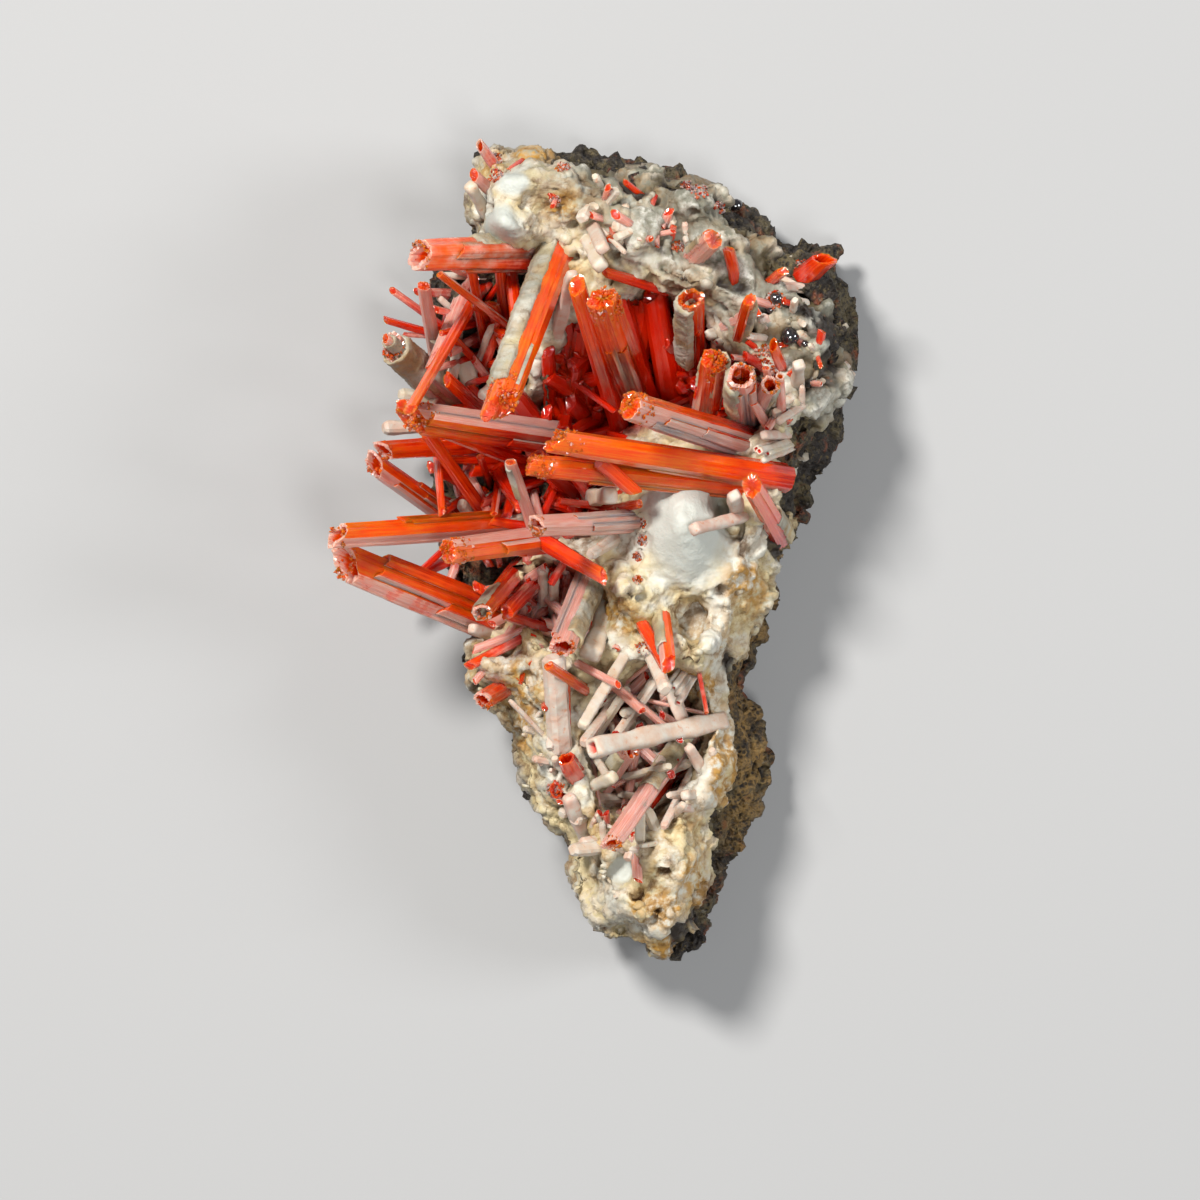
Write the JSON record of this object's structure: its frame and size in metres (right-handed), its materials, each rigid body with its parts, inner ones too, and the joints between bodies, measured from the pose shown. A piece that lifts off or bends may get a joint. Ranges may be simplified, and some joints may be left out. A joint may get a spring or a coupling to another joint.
{
  "type": "crocoite crystals on matrix",
  "caption": "Mineral specimen: orange-red crocoite prisms crossing over vugs in a pale gibbsite crust on dark gossan rock, lying on its back.",
  "frame": {"origin": "under the middle of the specimen, on the surface that its broken back rests on", "axes": "+Z out of the crystal-bearing front, +Y along the specimen towards its broad end, +X towards the right side seen from the front"},
  "size_m": [0.0532, 0.0834, 0.038],
  "materials": {
    "gossan": "rough porous iron and manganese oxide rock, brown-black with rust and ochre patches",
    "gibbsite": "dull white and cream lumpy crust, stained ochre and brown in its pits",
    "crocoite": "bare crocoite, adamantine, striated along its length, deep orange-red",
    "filmed_crocoite": "crocoite with a thin pink-white film of gibbsite on its upper faces",
    "sheathed_crocoite": "crocoite in a cream and white sleeve of gibbsite, bare at its end"
  },
  "bodies": {
    "root": {"gossan_matrix": "gossan", "gibbsite_crust": "gibbsite", "top_left_beam": "filmed_crocoite", "left_edge_prism": "filmed_crocoite", "left_bright_needle": "crocoite", "left_slender_prism": "crocoite", "left_crossed_pair": "crocoite", "left_red_needle": "crocoite", "left_glowing_prism": "crocoite", "left_upright_prism": "crocoite", "sleeved_giant": "sheathed_crocoite", "left_sleeved_stub": "sheathed_crocoite", "shadow_blade": "crocoite", "cream_column": "sheathed_crocoite", "upper_left_twin": "crocoite", "crossing_red_prism": "crocoite", "thin_upright_needle": "crocoite", "glassy_needle": "crocoite", "inner_orange_prism": "crocoite", "left_v_pair": "crocoite", "left_long_prism": "crocoite", "left_glowing_blade": "crocoite", "cross_cluster": "crocoite", "pink_hollow_prism": "filmed_crocoite", "pale_stub": "sheathed_crocoite", "cream_finger": "sheathed_crocoite", "central_giant": "crocoite", "deep_red_wedge": "crocoite", "vug_back_prism": "crocoite", "orange_needle": "crocoite", "vug_shadow_needle": "crocoite", "sheathed_stub": "sheathed_crocoite", "orange_stub": "crocoite", "rim_square_prism": "filmed_crocoite", "rim_shadow_prism": "crocoite", "hollow_pair": "filmed_crocoite", "capped_red_prism": "crocoite", "pink_giant": "filmed_crocoite", "striated_beam": "crocoite", "flame_red_prism": "crocoite", "glossy_hollow_prism": "crocoite", "shaded_hollow_prism": "crocoite", "lower_left_bar": "crocoite", "striped_stub": "crocoite", "pale_hollow_prism": "filmed_crocoite", "pale_side_prism": "sheathed_crocoite", "bright_orange_bar": "crocoite", "pale_diagonal": "sheathed_crocoite", "shelf_prism": "filmed_crocoite", "vug_needle": "sheathed_crocoite", "pale_crossbar": "sheathed_crocoite", "long_pale_prism": "sheathed_crocoite", "pale_strut": "sheathed_crocoite", "pink_vug_prism": "filmed_crocoite", "red_vug_prism": "crocoite"}
  },
  "joints": []
}
